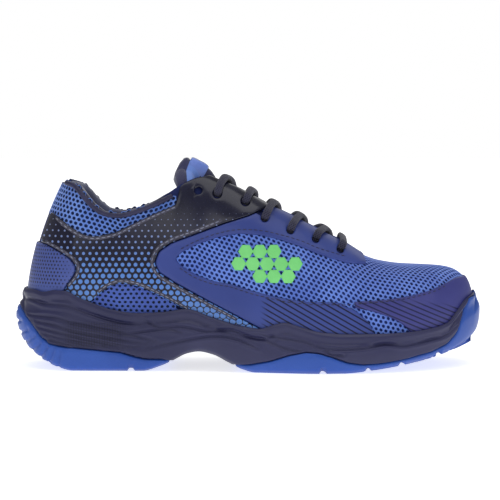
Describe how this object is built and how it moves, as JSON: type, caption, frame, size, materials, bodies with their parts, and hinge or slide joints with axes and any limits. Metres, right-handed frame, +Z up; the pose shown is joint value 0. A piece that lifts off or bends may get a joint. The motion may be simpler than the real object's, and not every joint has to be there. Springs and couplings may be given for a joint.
{
  "type": "court shoe",
  "caption": "Right court shoe for indoor racket sports: cupped foam midsole on rubber outsoles, perforated textile upper with fused film strap, padded collar and tongue, flat lace.",
  "frame": {"origin": "centre of the shoe's bounding box in plan, on the ground under the outsole", "axes": "+X from heel to toe, -Y the outer (lateral) side, +Z up"},
  "size_m": [0.295, 0.11, 0.1338],
  "materials": {
    "rubber_blue": "matte non-marking gum rubber",
    "midsole_navy": "satin skinned foam",
    "foam": "knit over soft foam",
    "board": "matte fibre board",
    "mesh_blue": "hexagonal air mesh",
    "collar_mesh": "square-hole air mesh",
    "film_gloss": "glossy film with dots that grow to cells",
    "saddle_blue": "matte synthetic leather, fine grain",
    "heel_blue": "perforated synthetic leather",
    "toe_cap_navy": "matte synthetic leather",
    "window_mesh": "perforated textile",
    "print_green": "raised print",
    "lining_navy": "brushed knit",
    "lace_navy": "flat woven lace",
    "plate_black": "moulded",
    "tip_clear": "sealed lace tip"
  },
  "bodies": {
    "shoe": {"outsole_heel": "rubber_blue", "outsole_forefoot": "rubber_blue", "midsole": "midsole_navy", "heel_cushion": "foam", "forefoot_cushion": "foam", "shank_plate": "plate_black", "lasting_board": "board", "vamp": "mesh_blue", "collar_mesh": "collar_mesh", "topline_binding": "lining_navy", "collar_pad": "foam", "collar_lining": "lining_navy", "heel_panel": "heel_blue", "toe_cap": "toe_cap_navy", "heel_counter": "plate_black", "toe_puff": "plate_black", "quarter_lateral": "mesh_blue", "quarter_medial": "mesh_blue", "strap_lateral": "film_gloss", "strap_medial": "film_gloss", "rear_window_lateral": "window_mesh", "rear_window_medial": "window_mesh", "saddle_lateral": "saddle_blue", "saddle_medial": "saddle_blue", "hex_print_lateral": "print_green", "hex_print_medial": "print_green", "quarter_lining_lateral": "lining_navy", "quarter_lining_medial": "lining_navy", "lace": "lace_navy", "lace_tail_lateral": "lace_navy", "lace_tail_medial": "lace_navy", "aglet_lateral": "tip_clear", "aglet_medial": "tip_clear"},
    "tongue": {"tongue": "foam", "tongue_lining": "lining_navy", "tongue_badge": "mesh_blue"},
    "sockliner": {"sockliner": "lining_navy"}
  },
  "joints": [
    {"name": "tongue_hinge", "type": "hinge", "parent": "shoe", "child": "tongue", "pos_m": [0.059, 0, 0.066], "axis": [0, -1, 0], "range_deg": [0, 4], "stiffness_Nm_per_rad": 0.5, "springref_deg": -3.44, "deforming": ["lace"]},
    {"name": "sockliner_lift", "type": "hinge", "parent": "shoe", "child": "sockliner", "pos_m": [0.1356, 0, 0.0241], "axis": [0, 1, 0], "range_deg": [0, 5], "deforming": ["lace_tail_lateral", "lace_tail_medial", "aglet_lateral", "aglet_medial"]}
  ]
}
